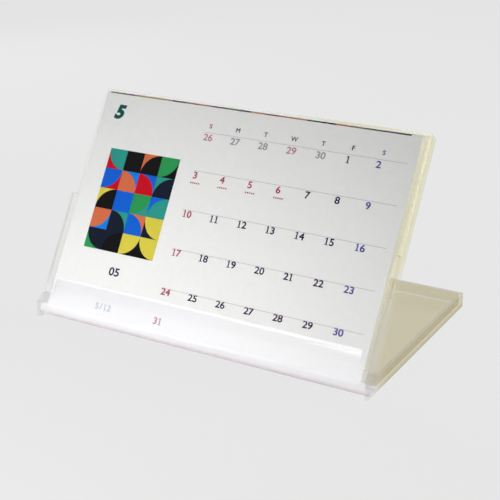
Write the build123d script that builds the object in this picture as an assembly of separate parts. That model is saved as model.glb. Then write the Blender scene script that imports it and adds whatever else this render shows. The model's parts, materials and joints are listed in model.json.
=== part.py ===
"""Desk calendar: a stack of month cards in a folding case of clear moulded plastic.

Millimetres, X to the right, Y to the back, Z up. The origin is on the desk, under
the middle of the case. The holder is drawn upright about its hinge pins, and then
leaned back onto the cross wall of the base tray.
"""
import math
import os

from build123d import *

# Cards: twelve months and a cover, pushed to the left side of the holder
card_width = 150.0
card_height = 100.0
card_thickness = 0.31
card_spacing = 0.02
card_left_gap = 0.4
card_right_gap = 2.4
card_seat_gap = 0.05
card_top_gap = 0.5
front_card_gap = 0.10
first_month = 5
months_in_year = 12

# Card holder, measured from the axis of its hinge pins
holder_lean = 31.08
holder_plate = 1.3
holder_side_wall = 1.1
holder_rim = 0.75
holder_corner_radius = 0.8
pocket_floor_drop = 1.45
deep_wall_rise = 50.2
deep_wall_proud = 3.52
deep_wall_corner_radius = 0.6
lip_thickness = 1.4
lip_slot = 3.8
lip_rise = 12.3
lip_slot_rise = 5.0
lip_corner_radius = 0.9
lip_bevel_height = 2.2
lip_bevel_depth = 0.7
edge_tolerance = 0.15

# Hinge pins, moulded on the holder
pin_radius = 1.5
pin_clearance = 0.06
pin_setback = 5.3
pin_end_recess = 0.15
pin_end_edge = 0.25
desk_gap = 0.05

# Base tray
hinge_side_gap = 0.1
base_depth = 102.2
base_wall_height = 6.95
base_wall = 1.4
base_floor = 1.5
base_outer_edge = 0.8
base_inner_edge = 0.8
base_outer_corner = 0.7
base_inner_corner = 1.6
lug_toe_radius = 1.2
tab_radius = 2.9
tab_top = 9.6
cross_wall = 1.3
cross_wall_top = 5.0
stop_gap = 0.04

# One overrun serves all cuts
overrun = 2.0

# Worked out from the sizes above
card_pitch = card_thickness + card_spacing
stack_count = months_in_year
stack_depth = stack_count * card_pitch
card_bottom = card_seat_gap - pocket_floor_drop
holder_inner_width = card_left_gap + card_width + card_right_gap
card_left = card_left_gap - holder_inner_width / 2
holder_width = holder_inner_width + 2 * holder_side_wall
holder_depth = holder_plate + stack_depth + deep_wall_proud
holder_rise = card_bottom + card_height + card_top_gap + holder_rim
holder_radius = holder_depth / 2
base_inner_width = holder_width + 2 * hinge_side_gap
base_width = base_inner_width + 2 * base_wall
pin_y = pin_setback - base_depth / 2
pin_height = holder_radius + desk_gap
plate_front = holder_radius - holder_plate
upper_wall_front = plate_front - stack_depth
lip_back = lip_thickness - holder_radius
lip_width = holder_inner_width - 2 * lip_slot
lean = math.radians(holder_lean)
leaned = Location((0, pin_y, pin_height), (-holder_lean, 0, 0))


def block(x_range, y_range, z_range):
    """A box between two limits on each axis."""
    size = [high - low for low, high in (x_range, y_range, z_range)]
    centre = [(high + low) / 2 for low, high in (x_range, y_range, z_range)]
    return Pos(*centre) * Box(*size)


def both_ways(half):
    """Limits on both sides of the middle plane."""
    return (-half, half)


def across(profile, width):
    """A side profile, drawn in Y and Z, made as wide as asked about the middle plane."""
    return extrude(Plane.YZ * profile, amount=width / 2, both=True)


def outline(points):
    """A flat face inside straight sides."""
    return make_face(Polyline(*points, close=True))


def holder_profile():
    """Side view of the holder: round hinge end, deep lower wall and set-back upper wall."""
    hinge_end = RadiusArc((-holder_radius, 0), (holder_radius, 0), -holder_radius)
    sides = Polyline(
        (holder_radius, 0),
        (holder_radius, holder_rise),
        (upper_wall_front, holder_rise),
        (upper_wall_front, deep_wall_rise),
        (-holder_radius, deep_wall_rise),
        (-holder_radius, 0),
    )
    return make_face([hinge_end, sides])


def card_holder():
    """The holder, upright, with its pins on the X axis."""
    body = across(holder_profile(), holder_width)
    half_inside = holder_inner_width / 2

    # Rounded corners where the rim meets the side walls, and on the deep walls
    across_edges = body.edges().filter_by(Axis.Y)
    body = fillet(across_edges.group_by(Axis.Z)[-1], holder_corner_radius)
    step_edges = [
        edge
        for edge in body.edges().filter_by(Axis.X)
        if abs(edge.center().Z - deep_wall_rise) < edge_tolerance
        and edge.center().Y < upper_wall_front - edge_tolerance
    ]
    body = fillet(step_edges, deep_wall_corner_radius)

    # Pocket for the cards, open to the front above the lip
    body -= block(
        both_ways(half_inside),
        (lip_back, plate_front),
        (-pocket_floor_drop, holder_rise - holder_rim),
    )
    body -= block(
        both_ways(half_inside),
        (-holder_radius - overrun, lip_back),
        (lip_rise, holder_rise - holder_rim),
    )

    # Slots that free the ends of the lip, with a rounded upper corner on each end
    lip = across(
        outline([
            (-holder_radius, lip_slot_rise - overrun),
            (-holder_radius, lip_rise - lip_bevel_height),
            (lip_bevel_depth - holder_radius, lip_rise),
            (lip_back, lip_rise),
            (lip_back, lip_slot_rise - overrun),
        ]),
        lip_width,
    )
    lip_ends = lip.edges().filter_by(Axis.Y).group_by(Axis.Z)[-1]
    lip = fillet(lip_ends, lip_corner_radius)
    body -= block(
        both_ways(half_inside),
        (-holder_radius - overrun, lip_back),
        (lip_slot_rise, lip_rise),
    )
    body += lip

    # Hinge pins
    pin_length = (base_width - holder_width) / 2 - pin_end_recess + holder_side_wall
    for side in (-1, 1):
        pin = Cylinder(pin_radius, pin_length, rotation=(0, 90, 0))
        rim_edges = pin.edges().filter_by(GeomType.CIRCLE).sort_by(Axis.X)
        outer_edge = rim_edges[-1] if side > 0 else rim_edges[0]
        pin = fillet(outer_edge, pin_end_edge)
        middle = base_width / 2 - pin_end_recess - pin_length / 2
        body += Pos(side * middle, 0, 0) * pin
    return body


def month_card(place):
    """A card, upright in the holder: place 0 is the front, higher places lie behind."""
    back = plate_front - (stack_count - place) * card_pitch
    if place == 0:
        back -= front_card_gap
    return block(
        (card_left, card_left + card_width),
        (back - card_thickness, back),
        (card_bottom, card_bottom + card_height),
    )


def base_tray():
    """The tray, open side up, with pin lugs in front of its floor."""
    front = -base_depth / 2
    back = base_depth / 2
    body = block(both_ways(base_width / 2), (front, back), (0, base_wall_height))
    body = fillet(body.edges().filter_by(Axis.Z).group_by(Axis.Y)[-1], base_outer_corner)
    body = fillet(body.faces().sort_by(Axis.Z)[0].edges().sort_by(Axis.Y)[0], lug_toe_radius)
    under = body.faces().sort_by(Axis.Z)[0].edges().sort_by(Axis.Y)[1:]
    body = fillet(under, base_outer_edge)

    # Inside of the tray, with moulded inner corners
    inside = block(
        both_ways(base_inner_width / 2),
        (front - overrun, back - base_wall),
        (base_floor, base_wall_height + overrun),
    )
    inside = fillet(inside.edges().filter_by(Axis.Z).group_by(Axis.Y)[-1], base_inner_corner)
    floor_edges = inside.faces().sort_by(Axis.Z)[0].edges().sort_by(Axis.Y)[1:]
    body -= fillet(floor_edges, base_inner_edge)

    # The stop face, parallel to the back of the leaned holder
    along = (math.sin(lean), math.cos(lean))
    outward = (math.cos(lean), -math.sin(lean))
    reach = holder_radius + stop_gap

    def stop_point(height, depth):
        run = (height - pin_height - reach * outward[1]) / along[1]
        return (pin_y + reach * outward[0] + run * along[0] + depth, height)

    # Open front between the lugs, where the round hinge end turns
    floor_front = stop_point(base_floor, 0)[0]
    body -= block(
        both_ways(base_inner_width / 2),
        (front - overrun, floor_front),
        (-overrun, base_wall_height + overrun),
    )

    # Cross wall that the holder leans on
    cross = outline([
        stop_point(base_floor / 2, cross_wall),
        (floor_front, base_floor / 2),
        stop_point(base_floor, 0),
        stop_point(cross_wall_top, 0),
        stop_point(cross_wall_top, cross_wall),
    ])
    body += across(cross, base_inner_width + base_wall)

    # Raised lug tabs and their pin holes
    tab_centre = tab_top - tab_radius
    for side in (-1, 1):
        inner = side * base_inner_width / 2
        outer = side * base_width / 2
        walls = (min(inner, outer), max(inner, outer))
        tab = Pos((inner + outer) / 2, pin_y, tab_centre) * Cylinder(
            tab_radius, base_wall, rotation=(0, 90, 0)
        )
        tab += block(walls, (pin_y - tab_radius, pin_y + tab_radius), (base_wall_height / 2, tab_centre))
        body += tab
        hole = Cylinder(pin_radius + pin_clearance, base_wall + overrun, rotation=(0, 90, 0))
        body -= Pos((inner + outer) / 2, pin_y, pin_height) * hole
    return body


def card_name(place):
    """Cards follow the front month in calendar order, and the cover comes last."""
    if place == months_in_year:
        return "cover_card"
    month = (first_month - 1 + place) % months_in_year + 1
    return f"month_card_{month:02d}"


os.makedirs("parts", exist_ok=True)
export_step(base_tray(), "parts/base_tray.step")
export_step(leaned * card_holder(), "parts/card_holder.step")
for place in range(stack_count + 1):
    export_step(leaned * month_card(place), f"parts/{card_name(place)}.step")
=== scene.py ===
"""Looks of the desk calendar: a clear moulded stand with loose printed month cards.

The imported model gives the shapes. This script gives every node its finish, prints the two front cards,
and sets up the floor, the light and the camera. Lengths are in metres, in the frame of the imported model.
"""

import json
import math

import bmesh
import bpy
from mathutils import Euler, Matrix, Quaternion, Vector


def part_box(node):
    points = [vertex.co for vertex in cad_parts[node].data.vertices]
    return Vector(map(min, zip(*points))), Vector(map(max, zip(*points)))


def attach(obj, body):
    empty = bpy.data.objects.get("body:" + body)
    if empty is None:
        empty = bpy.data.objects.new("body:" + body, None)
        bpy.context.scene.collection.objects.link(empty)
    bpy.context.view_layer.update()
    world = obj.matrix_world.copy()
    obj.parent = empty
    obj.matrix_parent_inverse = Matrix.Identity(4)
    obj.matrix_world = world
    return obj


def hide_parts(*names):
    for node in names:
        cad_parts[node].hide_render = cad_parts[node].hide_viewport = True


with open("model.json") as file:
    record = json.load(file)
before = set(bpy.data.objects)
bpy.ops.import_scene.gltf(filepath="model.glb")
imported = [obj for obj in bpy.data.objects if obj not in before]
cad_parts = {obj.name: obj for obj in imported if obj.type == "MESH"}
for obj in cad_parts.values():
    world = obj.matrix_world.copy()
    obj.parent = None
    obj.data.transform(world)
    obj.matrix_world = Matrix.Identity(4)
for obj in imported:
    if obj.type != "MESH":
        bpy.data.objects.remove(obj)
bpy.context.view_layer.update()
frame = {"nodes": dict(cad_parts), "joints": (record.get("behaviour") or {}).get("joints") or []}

MM = 0.001

# Camera: a long lens above and to the right of the calendar
CAMERA_PLACE = Vector((0.23473, -0.41479, 0.21221))
CAMERA_YAW, CAMERA_PITCH, CAMERA_ROLL = (math.radians(angle) for angle in (29.6106, 21.0135, 0.1309))
CAMERA_LENS, CAMERA_SENSOR = 84.993, 36.0
CAMERA_NEAR, CAMERA_FAR = 0.01, 20.0

# Layout of a month's print, in millimetres from the middle of the card's lower edge
COLUMN_FIRST, COLUMN_STEP = -18.7, 13.28
ROW_FIRST, ROW_STEP = 85.9, 16.95
LAST_ROW_LIFT = 4.3
DIGIT_HEIGHT, INITIAL_HEIGHT, LETTER_STRETCH = 2.8, 1.8, 1.1
INITIAL_LINE = 90.9
RULE_LEFT, RULE_RIGHT, RULE_WIDTH = -21.3, 71.5, 0.2
RULE_FIRST, RULE_STEP, RULE_COUNT = 88.0, 17.15, 5
MONTH_PLACE, MONTH_HEIGHT = (-65.6, 91.2), 5.7
NUMBER_PLACE, NUMBER_HEIGHT = (-46.0, 21.4), 3.4
INDEX_PLACE, INDEX_HEIGHT = (-46.7, 5.7), 2.6
MOSAIC_PLACE, MOSAIC_TILE, MOSAIC_COLUMNS, MOSAIC_ROWS = (-47.0, 52.0), 9.0, 4, 5
QUARTER_LIFT, QUARTER_POINTS = 0.02, 24
STRIP_LEFT, STRIP_RIGHT, STRIP_LINE, STRIP_WIDTH, STRIP_COUNT = -73.5, 70.3, 99.5, 0.6, 22
MARK_DROP, MARK_SIZE, MARK_STEP, MARK_COUNT = 3.4, 0.6, 0.95, 5
INK_HEIGHT, INK_FILM, INK_MERGE = 0.012, 0.008, 0.0005
WEEK = "SMTWTFS"
DAYS_IN_WEEK, MONTHS_IN_YEAR = len(WEEK), 12

# Lettering, in shares of an em: heavier strokes than the font's own, and a plain figure one with a foot
CAP_HEIGHT, FIGURE_ADVANCE = 0.69, 0.5
STROKE_WEIGHT, MONTH_WEIGHT, MONTH_SLANT = 0.024, 0.055, 0.18
LETTER_MERGE, MITRE_LIMIT = 0.0001, 0.5
ONE_OUTLINE = ((0.12, 0.0), (0.42, 0.0), (0.42, 0.065), (0.305, 0.065), (0.305, 0.69), (0.24, 0.69),
               (0.11, 0.60), (0.11, 0.54), (0.225, 0.585), (0.225, 0.065), (0.12, 0.065))

# Inks of the mosaic and of the strip along the top of a card
MOSAIC_INKS = ("08080A", "1262D6", "CC0C22", "08080A", "2E9A8E", "1262D6",
               "2E9A55", "DED04C", "101828", "D9714A", "1B7FE4", "7D7890")
STRIP_INKS = ("4E6A4A", "B97A62", "A98C4E", "2E4A3A", "8A6A4A", "5A2A3A",
              "6E8A4E", "B08A52", "3A1F44", "C08A5A", "6A4A6E", "2A2228")
INK_COUNT = len(MOSAIC_INKS)

# Sockets of the random value node for whole numbers
WHOLE_MIN, WHOLE_MAX, WHOLE_VALUE = 4, 5, 2

# Painted shade in the plastic's tint: a direction, where along it the tint starts to change and where it has
# changed
TRAY_PAINTED_SHADE = (Vector((0.0, 1.0, 0.0)), -0.050, -0.030)
HOLDER_PAINTED_SHADE = (Vector((1.0, 0.0, 1.0)), 0.095, 0.130)
LIP_SHADING_SPAN = (Vector((1.0, 0.0, 0.0)), -0.07, 0.05)

# A low inner IOR keeps the thin walls pale, and the surface coat has polystyrene's own. Each face lets
# nearly all light pass on its way to a shadow.
INNER_IOR, SURFACE_IOR, SURFACE_ROUGHNESS = 1.02, 1.59, 0.12
FACE_PASS = "FEFEFE"
FLOW_RIPPLE, SCUFF_SIZE = 25 * MM, 3 * MM

# Card and ink: sizes of their patterns, with the tooth and the mottle coarser than real, so that they show
CARD_CLOUD, CARD_TOOTH, INK_MOTTLE = 2.5 * MM, 0.35 * MM, 0.6 * MM
# Cream tint of the cards' side edges, and how far a face must look sideways to get it: painted warm shade
CLOUD_TINT, SIDE_EDGE_SHADE, SIDE_SHADE_FACING = "FBFBF8", "F6F2DE", 0.7

# Faces of the holder, told apart by where they lie from the hinge and where they look, and the span below the
# hinge where the hinge end's painted shade comes in
LIP_TOP, HOLDER_FACING, HINGE_END_FACING = 12.6 * MM, 0.8, -0.02
HINGE_SHADE_FADE = (2.5 * MM, 3.9 * MM)
LEFT_WALL = -76 * MM

# Faces of the tray that get painted light: wall tops, the floor's edge low on the side walls, the round at
# the back wall's foot
TRAY_FACING, WALL_TOP_HEIGHT = 0.9, 5 * MM
FLOOR_EDGE, OUTSIDE_X = 2.4 * MM, 78.1 * MM
BACK_ROUND_Y, ROUND_FACING = 48.5 * MM, 0.2

# Mouldings: how flat and sharp edges are told apart
MERGE_DISTANCE, FLAT_ANGLE, SHARP_ANGLE = 0.001 * MM, math.radians(0.5), math.radians(35.0)

# The last card touches the holder's back plate: a hair of air keeps the two surfaces apart
PLATE_AIR = 0.03 * MM

# Directions of a card in the holder, up along it and out of its face, and the hinge that it stands over
pull = next(joint for joint in frame["joints"] if joint["name"] == "front_card_pull")
card_up = Vector(pull["axis"]).normalized()
card_right = Vector((1.0, 0.0, 0.0))
card_out = card_right.cross(card_up)
tilt = next(joint for joint in frame["joints"] if joint["name"] == "holder_tilt")
hinge = Vector(tilt["pos_m"])


def linear(code):
    """The linear colour, with alpha, of an sRGB hex code."""
    shares = [int(code[i:i + 2], 16) / 255 for i in (0, 2, 4)]
    return (*[s / 12.92 if s <= 0.04045 else ((s + 0.055) / 1.055) ** 2.4 for s in shares], 1.0)


def node(tree, kind, inputs=None, **settings):
    """Adds a node with its settings. Inputs go by name or number, as values or as sockets to link."""
    made = tree.nodes.new(kind)
    for name, value in settings.items():
        setattr(made, name, value)
    for name, value in (inputs or {}).items():
        if isinstance(value, bpy.types.NodeSocket):
            tree.links.new(value, made.inputs[name])
        else:
            made.inputs[name].default_value = value
    return made


def blank(name):
    """A new material with an empty tree: the material, its tree and its object coordinates."""
    material = bpy.data.materials.new(name)
    material.use_nodes = True
    tree = material.node_tree
    tree.nodes.clear()
    return material, tree, node(tree, "ShaderNodeTexCoord").outputs["Object"]


def per(size):
    """The noise scale that gives patches of about this size in metres."""
    return 1.0 / size


def put(name, data):
    """A new object in the scene."""
    thing = bpy.data.objects.new(name, data)
    bpy.context.scene.collection.objects.link(thing)
    return thing


def meshed(name, shape):
    """A mesh made from a bmesh, which is used up."""
    mesh = bpy.data.meshes.new(name)
    shape.to_mesh(mesh)
    shape.free()
    return mesh


def evaluated_mesh(thing):
    """A plain mesh of an object with its modifiers applied."""
    ready = bpy.context.evaluated_depsgraph_get()
    return bpy.data.meshes.new_from_object(thing.evaluated_get(ready))


# Clear polystyrene, injection moulded in a polished tool: glassy but a little milky, with painted shade as a
# tint that shifts along one direction, a slow flow ripple in the flat walls and fine scuffs that take the
# gloss off in places.
def clear_polystyrene(name, shading_start_tint, shading_end_tint, painted_shading, clearness, surface):
    material, tree, place = blank(name)
    towards, start, end = painted_shading
    # Painted shade: how far the tint has moved from its first colour to its second
    along = node(tree, "ShaderNodeVectorMath", {0: place, 1: towards}, operation="DOT_PRODUCT")
    shading_share = node(tree, "ShaderNodeMapRange", {
        "Value": along.outputs["Value"], "From Min": start, "From Max": end}, interpolation_type="SMOOTHSTEP")
    tint = node(tree, "ShaderNodeMix", {
        0: shading_share.outputs["Result"], 6: linear(shading_start_tint), 7: linear(shading_end_tint)}, data_type="RGBA").outputs[2]
    ripple = node(tree, "ShaderNodeTexNoise", {"Vector": place, "Scale": per(FLOW_RIPPLE), "Detail": 0.0})
    scuffs = node(tree, "ShaderNodeTexNoise", {"Vector": place, "Scale": per(SCUFF_SIZE), "Detail": 4.0})
    gloss = node(tree, "ShaderNodeMapRange", {
        "Value": scuffs.outputs["Fac"], "From Min": 0.3, "From Max": 0.75, "To Min": 0.02, "To Max": 0.06})
    relief = node(tree, "ShaderNodeBump", {
        "Height": ripple.outputs["Fac"], "Strength": 0.03, "Distance": 0.1 * MM})
    plastic = node(tree, "ShaderNodeBsdfPrincipled", {
        "Base Color": tint, "Roughness": gloss.outputs["Result"], "IOR": INNER_IOR,
        "Transmission Weight": clearness, "Normal": relief.outputs["Normal"],
        "Coat Weight": surface, "Coat Roughness": SURFACE_ROUGHNESS, "Coat IOR": SURFACE_IOR})
    passed = node(tree, "ShaderNodeBsdfTransparent", {"Color": linear(FACE_PASS)})
    ray = node(tree, "ShaderNodeLightPath")
    choice = node(tree, "ShaderNodeMixShader", {
        0: ray.outputs["Is Shadow Ray"], 1: plastic.outputs[0], 2: passed.outputs[0]})
    node(tree, "ShaderNodeOutputMaterial", {"Surface": choice.outputs[0]})
    return material


# White card, calendered and uncoated: matt, nearly neutral, with a faint fibre cloud and tooth. The side
# edges get a cream tint that is painted warm shade.
def white_card(name, face):
    material, tree, place = blank(name)
    cloud = node(tree, "ShaderNodeTexNoise", {"Vector": place, "Scale": per(CARD_CLOUD), "Detail": 5.0})
    tooth = node(tree, "ShaderNodeTexNoise", {"Vector": place, "Scale": per(CARD_TOOTH), "Detail": 3.0})
    colour = node(tree, "ShaderNodeMix", {
        0: cloud.outputs["Fac"], 6: linear(face), 7: linear(CLOUD_TINT)}, data_type="RGBA")
    # Faces that look sideways get the painted warm shade
    facing = node(tree, "ShaderNodeVectorMath", {
        0: node(tree, "ShaderNodeTexCoord").outputs["Normal"], 1: card_right}, operation="DOT_PRODUCT")
    sideways = node(tree, "ShaderNodeMath", {0: facing.outputs["Value"]}, operation="ABSOLUTE")
    in_side_shade = node(tree, "ShaderNodeMath", {0: sideways.outputs[0], 1: SIDE_SHADE_FACING}, operation="GREATER_THAN")
    shown = node(tree, "ShaderNodeMix", {
        0: in_side_shade.outputs[0], 6: colour.outputs[2], 7: linear(SIDE_EDGE_SHADE)}, data_type="RGBA")
    matt = node(tree, "ShaderNodeMapRange", {"Value": tooth.outputs["Fac"], "To Min": 0.55, "To Max": 0.75})
    relief = node(tree, "ShaderNodeBump", {
        "Height": tooth.outputs["Fac"], "Strength": 0.15, "Distance": 0.02 * MM})
    paper = node(tree, "ShaderNodeBsdfPrincipled", {
        "Base Color": shown.outputs[2], "Roughness": matt.outputs["Result"], "IOR": 1.5,
        "Specular IOR Level": 0.1, "Normal": relief.outputs["Normal"]})
    node(tree, "ShaderNodeOutputMaterial", {"Surface": paper.outputs[0]})
    return material


# Offset ink on card: a thin film with a slight satin and the small unevenness of a printed solid. The
# piece's ink attribute picks one of its colours.
def offset_ink(name, *colours):
    material, tree, place = blank(name)
    mottle = node(tree, "ShaderNodeTexNoise", {"Vector": place, "Scale": per(INK_MOTTLE), "Detail": 3.0})
    satin = node(tree, "ShaderNodeMapRange", {"Value": mottle.outputs["Fac"], "To Min": 0.55, "To Max": 0.75})
    ink = node(tree, "ShaderNodeBsdfPrincipled", {
        "Roughness": satin.outputs["Result"], "IOR": 1.5, "Specular IOR Level": 0.08})
    palette = node(tree, "ShaderNodeValToRGB")
    palette.color_ramp.interpolation = "CONSTANT"
    stops = palette.color_ramp.elements
    while len(stops) < len(colours):
        stops.new(1.0)
    for i, stop in enumerate(stops):
        stop.position = i / len(stops)
        stop.color = linear(colours[min(i, len(colours) - 1)])
    number = node(tree, "ShaderNodeAttribute", attribute_name="ink")
    place_in_palette = node(tree, "ShaderNodeMath", {
        0: number.outputs["Fac"], 1: 1.0 / len(stops), 2: 0.5 / len(stops)}, operation="MULTIPLY_ADD")
    tree.links.new(place_in_palette.outputs[0], palette.inputs["Fac"])
    density = node(tree, "ShaderNodeMapRange", {"Value": mottle.outputs["Fac"], "To Min": 0.9, "To Max": 1.1})
    printed = node(tree, "ShaderNodeVectorMath", {
        0: palette.outputs["Color"], "Scale": density.outputs["Result"]}, operation="SCALE")
    tree.links.new(printed.outputs[0], ink.inputs["Base Color"])
    node(tree, "ShaderNodeOutputMaterial", {"Surface": ink.outputs[0]})
    return material


# Finishes of the two mouldings, most of them lit or shaded copies of one plastic: tints, where they change,
# clearness and strength of the surface gloss
# The tray's tint turns beige towards the back: painted warm shade.
tray_plastic = clear_polystyrene(
    "clear_polystyrene_tray", "F4F3F4", "DDD6BB", TRAY_PAINTED_SHADE, 0.96, 0.3)
# The wall tops are a hazier copy with full gloss: painted highlight along the rims.
wall_top_highlight_plastic = clear_polystyrene(
    "clear_polystyrene_wall_tops_painted_highlight", "F2F0F4", "E6E2E0", TRAY_PAINTED_SHADE, 0.8, 1.0)
# The floor's edge low on the side walls turns dark beige towards the back: a painted line of shade along the
# foot.
floor_edge_shade_plastic = clear_polystyrene(
    "clear_polystyrene_floor_edge_painted_shade", "F4F3F4", "C8BF9B", TRAY_PAINTED_SHADE, 0.96, 0.3)
# The side walls turn a paler beige towards the back than the rest of the tray: painted shade.
side_wall_shade_plastic = clear_polystyrene(
    "clear_polystyrene_side_walls_painted_shade", "F4F3F4", "E4DEC8", TRAY_PAINTED_SHADE, 0.96, 0.3)
# The round at the back wall's foot is a paler, hazier, glossier copy: painted highlight.
inner_round_highlight_plastic = clear_polystyrene(
    "clear_polystyrene_inner_round_painted_highlight", "F4F3F4", "F4F1E6", TRAY_PAINTED_SHADE, 0.93, 0.6)
# The holder's tint turns yellow towards its upper right: painted warm shade.
holder_plastic = clear_polystyrene(
    "clear_polystyrene_holder", "FCFCFC", "F3F0DA", HOLDER_PAINTED_SHADE, 0.94, 0.4)
# The lip is a hazier, bluish copy whose veil is painted cool reflection; its tint runs from darker at the
# left end to lighter at the right as painted shading.
lip_reflection_plastic = clear_polystyrene(
    "clear_polystyrene_lip_painted_reflection", "E3E3EA", "F1F1F5", LIP_SHADING_SPAN, 0.86, 1.0)
# The left walls are a clearer, whiter copy: painted light from the left.
left_wall_lit_plastic = clear_polystyrene(
    "clear_polystyrene_left_wall_painted_light", "FEFEFE", "FCFCFC", HOLDER_PAINTED_SHADE, 0.99, 1.0)
# The left walls' front faces are a grey copy without gloss: painted shade.
left_edge_shade_plastic = clear_polystyrene(
    "clear_polystyrene_left_edge_painted_shade", "DFDDD4", "DFDDD4", HOLDER_PAINTED_SHADE, 0.99, 0.0)
# The hinge end is a milky copy whose tint darkens and turns pinkish towards its bottom: painted shade.
below_hinge = [depth - hinge.dot(card_up) for depth in HINGE_SHADE_FADE]
hinge_plastic = clear_polystyrene(
    "clear_polystyrene_hinge_end_painted_shade", "F2F2F5", "E2D9DF", (-card_up, *below_hinge), 0.4, 1.0)

front_stock = white_card("white_card_front", "F4F4F4")
stack_stock = white_card("white_card_stack", "F1F0EC")

ink_dark = offset_ink("offset_ink_dark", "381546")
ink_red = offset_ink("offset_ink_red", "AE3F58")
ink_blue = offset_ink("offset_ink_blue", "54509E")
ink_grey = offset_ink("offset_ink_grey", "A69FA6")
ink_pale_red = offset_ink("offset_ink_pale_red", "C48A9A")
ink_pale_blue = offset_ink("offset_ink_pale_blue", "AEC0CC")
ink_rule = offset_ink("offset_ink_rule", "C9C6C8")
ink_green = offset_ink("offset_ink_green", "12564C")
ink_mosaic = offset_ink("offset_ink_mosaic", *MOSAIC_INKS)
ink_strip = offset_ink("offset_ink_strip", *STRIP_INKS)

finishes = {"base_tray": tray_plastic, "card_holder": holder_plastic, "month_card_05": front_stock}
for name, plain in frame["nodes"].items():
    plain.data.materials.clear()
    plain.data.materials.append(finishes.get(name, stack_stock))


def leave_air(shape):
    """Moves the front of the holder's back plate a hair off the card that touches it."""
    last_card = frame["nodes"]["cover_card"].data
    card_back = min((corner.co - hinge).dot(card_out) for corner in last_card.vertices)
    for corner in shape.verts:
        if abs((corner.co - hinge).dot(card_out) - card_back) < MERGE_DISTANCE:
            corner.co -= PLATE_AIR * card_out


def moulding(name, of_node, body, cut_place, cut_facing, plastics, finish):
    """A moulding, smooth in its rounds and sharp at its edges, cut where its finish changes on a face."""
    shape = bmesh.new()
    shape.from_mesh(frame["nodes"][of_node].data)
    bmesh.ops.remove_doubles(shape, verts=shape.verts, dist=MERGE_DISTANCE)
    bmesh.ops.dissolve_limit(shape, angle_limit=FLAT_ANGLE, verts=shape.verts, edges=shape.edges)
    bmesh.ops.bisect_plane(
        shape, geom=[*shape.verts, *shape.edges, *shape.faces], dist=MERGE_DISTANCE,
        plane_co=cut_place, plane_no=cut_facing)
    if of_node == "card_holder":
        leave_air(shape)
    for face in shape.faces:
        face.smooth = True
    for edge in shape.edges:
        edge.smooth = len(edge.link_faces) == 2 and edge.calc_face_angle() < SHARP_ANGLE
    piece = put(name, meshed(name, shape))
    shading = piece.modifiers.new("flat_walls", "WEIGHTED_NORMAL")
    shading.mode, shading.weight, shading.keep_sharp = "FACE_AREA", 100, True
    shaded = evaluated_mesh(piece)
    piece.modifiers.clear()
    piece.data = shaded
    shaded.materials.clear()
    for plastic in plastics:
        shaded.materials.append(plastic)
    for face in shaded.polygons:
        face.material_index = plastics.index(finish(face))
    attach(piece, body)
    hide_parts(of_node)
    return piece


def tray_finish(face):
    """The plastic of one face of the tray."""
    rise = face.normal.z
    if face.center.z > FLOOR_EDGE:
        if abs(face.normal.x) > TRAY_FACING:
            return side_wall_shade_plastic
        on_top = rise > TRAY_FACING and face.center.z > WALL_TOP_HEIGHT
        return wall_top_highlight_plastic if on_top else tray_plastic
    if abs(face.center.x) > OUTSIDE_X:
        return floor_edge_shade_plastic if rise > -TRAY_FACING else tray_plastic
    in_round = face.center.y > BACK_ROUND_Y and ROUND_FACING < rise < TRAY_FACING
    return inner_round_highlight_plastic if in_round else tray_plastic


def holder_finish(face):
    """The plastic of one face of the holder."""
    place = face.center - hinge
    looks_out = face.normal.dot(card_out) > HOLDER_FACING
    if place.x < LEFT_WALL and abs(face.normal.x) > HOLDER_FACING:
        return left_wall_lit_plastic
    if place.x < LEFT_WALL and looks_out:
        return left_edge_shade_plastic
    if place.dot(card_up) > LIP_TOP:
        return holder_plastic
    if face.normal.dot(card_up) < HINGE_END_FACING:
        return hinge_plastic
    return lip_reflection_plastic if looks_out and place.dot(card_out) > 0 else holder_plastic


moulding(
    "moulded_tray", "base_tray", "base", Vector((0.0, 0.0, FLOOR_EDGE)), Vector((0.0, 0.0, 1.0)),
    (tray_plastic, wall_top_highlight_plastic, floor_edge_shade_plastic, inner_round_highlight_plastic, side_wall_shade_plastic),
    tray_finish)
moulding(
    "moulded_holder", "card_holder", "holder", hinge + LIP_TOP * card_up, card_up,
    (holder_plastic, lip_reflection_plastic, hinge_plastic, left_wall_lit_plastic, left_edge_shade_plastic),
    holder_finish)


def card_face(card):
    """The matrix from millimetres on a card's face, from the middle of its lower edge, to the frame."""
    low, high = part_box(card)
    deep, tall = high.y - low.y, high.z - low.z
    lean, rise = card_up.y, card_up.z
    height = (tall * rise - deep * lean) / (rise * rise - lean * lean)
    corner = Vector(((low.x + high.x) / 2, low.y, high.z - height * rise))
    turn = Matrix((card_right, card_up, card_out)).transposed().to_4x4()
    return Matrix.Translation(corner) @ turn @ Matrix.Scale(MM, 4)


# Plain figures and letters
font_curve = bpy.data.curves.new("lettering", "FONT")
font_object = put("lettering", font_curve)


def glyph(character):
    """A flat mesh of one character, an em square in size."""
    if character == "1":
        flat = bmesh.new()
        flat.faces.new([flat.verts.new((x, y, 0.0)) for x, y in ONE_OUTLINE])
        return meshed("one", flat)
    font_curve.body = character
    return evaluated_mesh(font_object)


def thicken(flat, weight):
    """Moves the outline of a flat mesh outwards, to make its strokes bolder."""
    bmesh.ops.remove_doubles(flat, verts=flat.verts, dist=LETTER_MERGE)
    moves = {}
    for vertex in flat.verts:
        outward = []
        for edge in vertex.link_edges:
            if edge.is_boundary:
                along = edge.other_vert(vertex).co - vertex.co
                side = along.cross(Vector((0.0, 0.0, 1.0))).normalized()
                inside = edge.link_faces[0].calc_center_median() - vertex.co
                outward.append(-side if side.dot(inside) > 0 else side)
        if len(outward) == 2:
            spread = max(MITRE_LIMIT, 1.0 + outward[0].dot(outward[1]))
            moves[vertex] = (outward[0] + outward[1]) * weight / spread
    for vertex, move in moves.items():
        vertex.co += move


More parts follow.
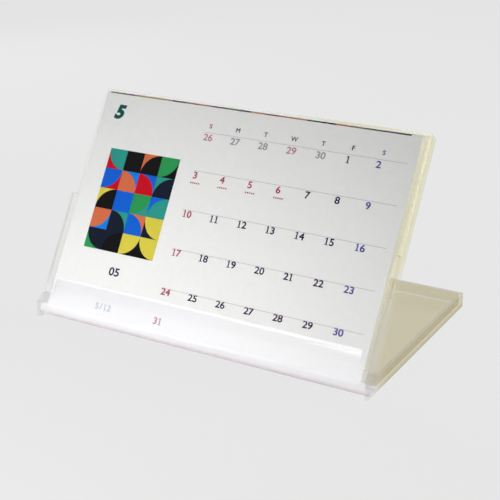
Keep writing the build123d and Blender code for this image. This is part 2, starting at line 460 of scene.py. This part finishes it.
glyphs = {character: glyph(character) for character in "0123456789/" + "".join(sorted(set(WEEK)))}


def add_flat(flat, other):
    """Adds a flat mesh to another and uses it up."""
    mesh = meshed("added", other)
    flat.from_mesh(mesh)
    bpy.data.meshes.remove(mesh)


def write(flat, text, left, line, height, weight=STROKE_WEIGHT, slant=0.0):
    """Adds text to a flat mesh, from a left end, centred on a line, with figures of one width."""
    size = height / CAP_HEIGHT
    for i, character in enumerate(text):
        letter = bmesh.new()
        letter.from_mesh(glyphs[character])
        thicken(letter, weight)
        xs = [vertex.co.x for vertex in letter.verts]
        shift = (i + 0.5) * FIGURE_ADVANCE - (min(xs) + max(xs)) / 2
        for vertex in letter.verts:
            rise = vertex.co.y - CAP_HEIGHT / 2
            vertex.co.x = left + (vertex.co.x + shift + slant * rise) * size * LETTER_STRETCH
            vertex.co.y = line + rise * size
        add_flat(flat, letter)


def width_of(text, height):
    """The width of a line of text of this height."""
    return len(text) * FIGURE_ADVANCE * LETTER_STRETCH * height / CAP_HEIGHT


def print_piece(name, flat, card, body, ink):
    """Makes a flat mesh in card millimetres a thin closed film of ink on a card."""
    bmesh.ops.remove_doubles(flat, verts=flat.verts, dist=INK_MERGE)
    bmesh.ops.recalc_face_normals(flat, faces=flat.faces)
    for face in flat.faces:
        if face.normal.z < 0:
            face.normal_flip()
    top = bmesh.ops.extrude_face_region(flat, geom=list(flat.faces), use_keep_orig=True)
    for part in top["geom"]:
        if isinstance(part, bmesh.types.BMVert):
            part.co.z += INK_FILM
    bmesh.ops.recalc_face_normals(flat, faces=flat.faces)
    flat.transform(card_face(card) @ Matrix.Translation((0.0, 0.0, INK_HEIGHT)))
    piece = put(name, meshed(name, flat))
    piece.data.materials.append(ink)
    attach(piece, body)


def tree_with(name, inputs):
    """A geometry node tree with named inputs, and its input and output nodes."""
    tree = bpy.data.node_groups.new(name, "GeometryNodeTree")
    tree.interface.new_socket("Geometry", in_out="OUTPUT", socket_type="NodeSocketGeometry")
    for label, kind in inputs.items():
        tree.interface.new_socket(label, in_out="INPUT", socket_type=kind)
    return tree, node(tree, "NodeGroupInput").outputs, node(tree, "NodeGroupOutput")


def grown(tree, name, values):
    """The flat mesh that a tree gives for these input values, as a bmesh."""
    carrier = put(name, bpy.data.meshes.new(name))
    growth = carrier.modifiers.new(name, "NODES")
    growth.node_group = tree
    sockets = {item.name: item.identifier for item in tree.interface.items_tree if item.in_out == "INPUT"}
    for label, value in values.items():
        growth[sockets[label]] = value
    mesh = evaluated_mesh(carrier)
    bpy.data.objects.remove(carrier)
    flat = bmesh.new()
    flat.from_mesh(mesh)
    bpy.data.meshes.remove(mesh)
    return flat


def finish_print_tree(tree, instances, ink, out):
    """Makes instances real, with each one's ink number on its faces, and gives them their material."""
    whole = node(tree, "GeometryNodeRealizeInstances", {0: instances})
    number = node(tree, "GeometryNodeInputNamedAttribute", {"Name": "ink"})
    faces = node(tree, "GeometryNodeStoreNamedAttribute", {
        "Geometry": whole.outputs[0], "Name": "ink", "Value": number.outputs[0]}, domain="FACE")
    done = node(tree, "GeometryNodeSetMaterial", {"Geometry": faces.outputs[0], "Material": ink})
    tree.links.new(done.outputs[0], out.inputs[0])


def bar_row_tree():
    """A row of equal bars, each with the number of one of the inks in its ink attribute."""
    tree, given, out = tree_with("bar_row", {
        "Count": "NodeSocketInt", "Start": "NodeSocketVector", "Step": "NodeSocketVector",
        "Length": "NodeSocketFloat", "Width": "NodeSocketFloat", "Seed": "NodeSocketInt",
        "Ink": "NodeSocketMaterial"})
    line = node(tree, "GeometryNodeMeshLine", {
        "Count": given["Count"], "Start Location": given["Start"], "Offset": given["Step"]})
    bar = node(tree, "GeometryNodeMeshGrid", {
        "Size X": given["Length"], "Size Y": given["Width"], "Vertices X": 2, "Vertices Y": 2})
    row = node(tree, "GeometryNodeInstanceOnPoints", {"Points": line.outputs[0], "Instance": bar.outputs[0]})
    pick = node(tree, "FunctionNodeRandomValue", {
        "Seed": given["Seed"], WHOLE_MIN: 0, WHOLE_MAX: INK_COUNT - 1}, data_type="INT")
    inked = node(tree, "GeometryNodeStoreNamedAttribute", {
        "Geometry": row.outputs[0], "Name": "ink", "Value": pick.outputs[WHOLE_VALUE]}, domain="INSTANCE")
    finish_print_tree(tree, inked.outputs[0], given["Ink"], out)
    return tree


def mosaic_tree():
    """Square tiles, each with a quarter disc turned at random, in two numbered inks that differ."""
    tree, given, out = tree_with("tile_mosaic", {
        "Tile": "NodeSocketFloat", "Columns": "NodeSocketInt", "Rows": "NodeSocketInt",
        "Lift": "NodeSocketFloat", "Seed": "NodeSocketInt", "Ink": "NodeSocketMaterial"})
    spans = []
    for label in ("Columns", "Rows"):
        steps = node(tree, "ShaderNodeMath", {0: given[label], 1: 1.0}, operation="SUBTRACT")
        span = node(tree, "ShaderNodeMath", {0: given["Tile"], 1: steps.outputs[0]}, operation="MULTIPLY")
        spans.append(span.outputs[0])
    spots = node(tree, "GeometryNodeMeshGrid", {
        "Size X": spans[0], "Size Y": spans[1], "Vertices X": given["Columns"], "Vertices Y": given["Rows"]})
    square = node(tree, "GeometryNodeMeshGrid", {
        "Size X": given["Tile"], "Size Y": given["Tile"], "Vertices X": 2, "Vertices Y": 2})
    arc = node(tree, "GeometryNodeCurveArc", {
        "Resolution": QUARTER_POINTS, "Radius": given["Tile"], "Sweep Angle": math.pi / 2,
        "Connect Center": True})
    disc = node(tree, "GeometryNodeFillCurve", {0: arc.outputs[0]})
    half_back = node(tree, "ShaderNodeMath", {0: given["Tile"], 1: -0.5}, operation="MULTIPLY")
    corner = node(tree, "ShaderNodeCombineXYZ", {
        0: half_back.outputs[0], 1: half_back.outputs[0], 2: given["Lift"]})
    quarter = node(tree, "GeometryNodeTransform", {
        "Geometry": disc.outputs[0], "Translation": corner.outputs[0]})

    # Three draws for each tile: the square's ink, how far on from it the disc's ink is, and quarter turns
    draws = []
    for offset, (low, high) in enumerate(((0, INK_COUNT - 1), (1, INK_COUNT - 1), (0, 3))):
        seed = node(tree, "ShaderNodeMath", {0: given["Seed"], 1: float(offset)}, operation="ADD")
        draw = node(tree, "FunctionNodeRandomValue", {
            "Seed": seed.outputs[0], WHOLE_MIN: low, WHOLE_MAX: high}, data_type="INT")
        draws.append(draw.outputs[WHOLE_VALUE])
    square_ink, further, quarter_turns = draws
    total = node(tree, "ShaderNodeMath", {0: square_ink, 1: further}, operation="ADD")
    disc_ink = node(tree, "ShaderNodeMath", {
        0: total.outputs[0], 1: float(INK_COUNT)}, operation="MODULO").outputs[0]
    angle = node(tree, "ShaderNodeMath", {0: quarter_turns, 1: math.pi / 2}, operation="MULTIPLY")
    turn = node(tree, "ShaderNodeCombineXYZ", {2: angle.outputs[0]})

    joined = node(tree, "GeometryNodeJoinGeometry")
    for shape, ink, turned in ((square, square_ink, None), (quarter, disc_ink, turn)):
        placed = node(tree, "GeometryNodeInstanceOnPoints", {
            "Points": spots.outputs[0], "Instance": shape.outputs[0]})
        if turned:
            tree.links.new(turned.outputs[0], placed.inputs["Rotation"])
        layer = node(tree, "GeometryNodeStoreNamedAttribute", {
            "Geometry": placed.outputs[0], "Name": "ink", "Value": ink}, domain="INSTANCE")
        tree.links.new(layer.outputs[0], joined.inputs[0])
    finish_print_tree(tree, joined.outputs[0], given["Ink"], out)
    return tree


bar_row = bar_row_tree()
tile_mosaic = mosaic_tree()


def print_month(card, body, month, first_column, days, days_before, holidays, holidays_before):
    """Prints one month on a card: rules, initials, dates, holiday marks, month number and mosaic."""
    def column_left(column):
        return COLUMN_FIRST + column * COLUMN_STEP - width_of("0", DIGIT_HEIGHT)

    def place_of(day):
        row, column = divmod(first_column + day - 1, DAYS_IN_WEEK)
        lift = LAST_ROW_LIFT if row > RULE_COUNT - 1 else 0.0
        return column_left(column), ROW_FIRST - row * ROW_STEP + lift

    groups = {"before": ink_grey, "before_sunday": ink_pale_red,
              "weekday": ink_dark, "saturday": ink_blue, "sunday": ink_red}
    flats = {group: bmesh.new() for group in groups}
    for day in range(1 - first_column, days + 1):
        column = (first_column + day - 1) % DAYS_IN_WEEK
        number, free = (day, holidays) if day > 0 else (days_before + day, holidays_before)
        if column == 0 or number in free:
            group = "sunday" if day > 0 else "before_sunday"
        elif day < 1:
            group = "before"
        else:
            group = "saturday" if column == DAYS_IN_WEEK - 1 else "weekday"
        write(flats[group], str(number), *place_of(day), DIGIT_HEIGHT)
    for group, flat in flats.items():
        if len(flat.verts):
            print_piece(f"dates_{group}_{month:02d}", flat, card, body, groups[group])

    for name, columns, ink in (("sunday", (0,), ink_red), ("saturday", (DAYS_IN_WEEK - 1,), ink_blue),
                               ("weekday", range(1, DAYS_IN_WEEK - 1), ink_dark)):
        flat = bmesh.new()
        for column in columns:
            left = COLUMN_FIRST + column * COLUMN_STEP - width_of("0", INITIAL_HEIGHT) / 2
            write(flat, WEEK[column], left, INITIAL_LINE, INITIAL_HEIGHT)
        print_piece(f"initials_{name}_{month:02d}", flat, card, body, ink)

    for name, text, place, height, ink, look in (
            ("month_number", str(month), MONTH_PLACE, MONTH_HEIGHT, ink_green, (MONTH_WEIGHT, MONTH_SLANT)),
            ("card_number", f"{month:02d}", NUMBER_PLACE, NUMBER_HEIGHT, ink_dark, ()),
            ("card_index", f"{month}/{MONTHS_IN_YEAR}", INDEX_PLACE, INDEX_HEIGHT, ink_pale_blue, ())):
        flat = bmesh.new()
        write(flat, text, place[0] - width_of(text, height) / 2, place[1], height, *look)
        print_piece(f"{name}_{month:02d}", flat, card, body, ink)

    flat = grown(bar_row, "rules", {
        "Count": RULE_COUNT, "Start": ((RULE_LEFT + RULE_RIGHT) / 2, RULE_FIRST, 0.0),
        "Step": (0.0, -RULE_STEP, 0.0), "Length": RULE_RIGHT - RULE_LEFT, "Width": RULE_WIDTH,
        "Seed": 1, "Ink": ink_rule})
    print_piece(f"week_rules_{month:02d}", flat, card, body, ink_rule)

    bar = (STRIP_RIGHT - STRIP_LEFT) / STRIP_COUNT
    flat = grown(bar_row, "strip", {
        "Count": STRIP_COUNT, "Start": (STRIP_LEFT + bar / 2, STRIP_LINE, 0.0), "Step": (bar, 0.0, 0.0),
        "Length": bar, "Width": STRIP_WIDTH, "Seed": month, "Ink": ink_strip})
    print_piece(f"top_strip_{month:02d}", flat, card, body, ink_strip)

    flat = grown(tile_mosaic, "mosaic", {
        "Tile": MOSAIC_TILE, "Columns": MOSAIC_COLUMNS, "Rows": MOSAIC_ROWS, "Lift": QUARTER_LIFT,
        "Seed": month, "Ink": ink_mosaic})
    flat.transform(Matrix.Translation((*MOSAIC_PLACE, 0.0)))
    print_piece(f"mosaic_{month:02d}", flat, card, body, ink_mosaic)

    if holidays:
        flat = bmesh.new()
        for day in holidays:
            x, y = place_of(day)
            add_flat(flat, grown(bar_row, "marks", {
                "Count": MARK_COUNT, "Start": (x, y - MARK_DROP, 0.0),
                "Step": (MARK_STEP, 0.0, 0.0), "Length": MARK_SIZE, "Width": MARK_SIZE, "Seed": 1,
                "Ink": ink_red}))
        print_piece(f"holiday_marks_{month:02d}", flat, card, body, ink_red)


print_month("month_card_05", "front_card", month=5, first_column=5, days=31, days_before=30,
            holidays=(3, 4, 5, 6), holidays_before=(29,))
print_month("month_card_06", "holder", month=6, first_column=1, days=30, days_before=31,
            holidays=(), holidays_before=())
bpy.data.objects.remove(font_object)

# Floor and surroundings
BACKGROUND = "E7E7E7"
FLOOR_SIZE, FLOOR_DROP = 6.0, 0.02 * MM
FLOOR_GLOW, FLOOR_SHINE = 0.94, 0.815
SOFT_LIGHT, PLAIN_WHITE = 0.10, (1.0, 1.0, 1.0, 1.0)


def seen_rays(tree):
    """1 for the rays that show the background to the eye: straight, mirrored or through clear plastic."""
    ray = node(tree, "ShaderNodeLightPath")
    straight = node(tree, "ShaderNodeMath", {
        0: ray.outputs["Is Camera Ray"], 1: ray.outputs["Is Glossy Ray"]}, operation="MAXIMUM")
    through = node(tree, "ShaderNodeMath", {
        0: straight.outputs[0], 1: ray.outputs["Is Transmission Ray"]}, operation="MAXIMUM")
    unscattered = node(tree, "ShaderNodeMath", {
        0: ray.outputs["Diffuse Depth"], 1: 0.5}, operation="LESS_THAN")
    seen = node(tree, "ShaderNodeMath", {
        0: through.outputs[0], 1: unscattered.outputs[0]}, operation="MULTIPLY")
    return seen.outputs[0]


# Painted board: plain and matt, with a glow that keeps it as pale as the background around the shadow
def studio_floor():
    material, tree, _ = blank("painted_board_floor")
    matt = node(tree, "ShaderNodeBsdfDiffuse", {"Color": linear(BACKGROUND)})
    glow = node(tree, "ShaderNodeEmission", {"Color": PLAIN_WHITE, "Strength": FLOOR_SHINE})
    share = node(tree, "ShaderNodeMath", {0: seen_rays(tree), 1: FLOOR_GLOW}, operation="MULTIPLY")
    both = node(tree, "ShaderNodeMixShader", {0: share.outputs[0], 1: matt.outputs[0], 2: glow.outputs[0]})
    node(tree, "ShaderNodeOutputMaterial", {"Surface": both.outputs[0]})
    flat = bmesh.new()
    bmesh.ops.create_grid(flat, x_segments=1, y_segments=1, size=FLOOR_SIZE / 2)
    flat.transform(Matrix.Translation((0.0, 0.0, -FLOOR_DROP)))
    floor = put("floor", meshed("floor", flat))
    floor.data.materials.append(material)


studio_floor()

world = bpy.data.worlds.new("studio")
bpy.context.scene.world = world
world.use_nodes = True
world.node_tree.nodes.clear()
soft = node(world.node_tree, "ShaderNodeBackground", {"Color": PLAIN_WHITE, "Strength": SOFT_LIGHT})
shown = node(world.node_tree, "ShaderNodeBackground", {"Color": linear(BACKGROUND), "Strength": 1.0})
sky = node(world.node_tree, "ShaderNodeMixShader", {
    0: seen_rays(world.node_tree), 1: soft.outputs[0], 2: shown.outputs[0]})
node(world.node_tree, "ShaderNodeOutputWorld", {"Surface": sky.outputs[0]})


def softbox(name, place, aim, width, height, radiance):
    """A rectangular area lamp of an even brightness, pointed at a spot."""
    data = bpy.data.lights.new(name, "AREA")
    data.shape = "RECTANGLE"
    data.size, data.size_y = width, height
    data.energy = radiance * math.pi * width * height
    lamp = put(name, data)
    lamp.location = place
    lamp.rotation_mode = "QUATERNION"
    lamp.rotation_quaternion = (Vector(aim) - Vector(place)).to_track_quat("-Z", "Y")
    lamp.visible_camera = lamp.visible_transmission = False
    return lamp


# Lamps that light the matt surfaces and stay out of the gloss: place, aim, width, height, brightness
matt_lamps = {
    "key_softbox": ((-0.047, -0.273, 0.056), (-0.03, -0.03, 0.03), 0.25, 0.07, 10.0),
    "right_fill": ((0.50, 0.30, 0.33), (0.05, 0.0, 0.04), 0.45, 0.45, 4.2),
    "left_fill": ((-0.50, 0.30, 0.33), (-0.05, 0.0, 0.04), 0.45, 0.45, 3.2),
    "back_fill": ((0.0, 0.65, 0.16), (0.0, 0.0, 0.05), 0.50, 0.30, 3.5)}
for name, values in matt_lamps.items():
    lamp = softbox(name, *values)
    lamp.visible_glossy = lamp.data.cycles.use_multiple_importance_sampling = False

# The back fill lights the cards' backs and leaves the floor alone
cards = bpy.data.collections.new("cards")
for name, plain in frame["nodes"].items():
    if name not in ("base_tray", "card_holder"):
        cards.objects.link(plain)
bpy.data.objects["back_fill"].light_linking.receiver_collection = cards

# Panels that show in the gloss alone: in the face of the lip, in its bevel and in the right wall's edge
gloss_panels = {
    "lip_panel": ((-0.13, -0.257, 0.085), (-0.13, -0.05, 0.01), 0.34, 0.13, 0.8),
    "bevel_panel": ((-0.24, -0.205, 0.418), (-0.24, -0.05, 0.01), 0.40, 0.15, 3.5),
    "edge_panel": ((-0.045, -0.257, 0.30), (0.076, -0.01, 0.065), 0.06, 0.17, 6.0)}
for name, values in gloss_panels.items():
    softbox(name, *values).visible_diffuse = False

view = bpy.data.cameras.new("camera")
view.lens, view.sensor_width = CAMERA_LENS, CAMERA_SENSOR
view.clip_start, view.clip_end = CAMERA_NEAR, CAMERA_FAR
camera = put("camera", view)
camera.location = CAMERA_PLACE
camera.rotation_mode = "QUATERNION"
level_view = Euler((math.pi / 2 - CAMERA_PITCH, 0.0, CAMERA_YAW)).to_quaternion()
camera.rotation_quaternion = level_view @ Quaternion((0, 0, 1), CAMERA_ROLL)
bpy.context.scene.camera = camera

# Clear walls pass light on many times before it comes out
LIGHT_BOUNCES = 32
light_paths = bpy.context.scene.cycles
light_paths.max_bounces = light_paths.glossy_bounces = LIGHT_BOUNCES
light_paths.transmission_bounces = light_paths.transparent_max_bounces = LIGHT_BOUNCES
bpy.context.scene.view_settings.view_transform = "Standard"
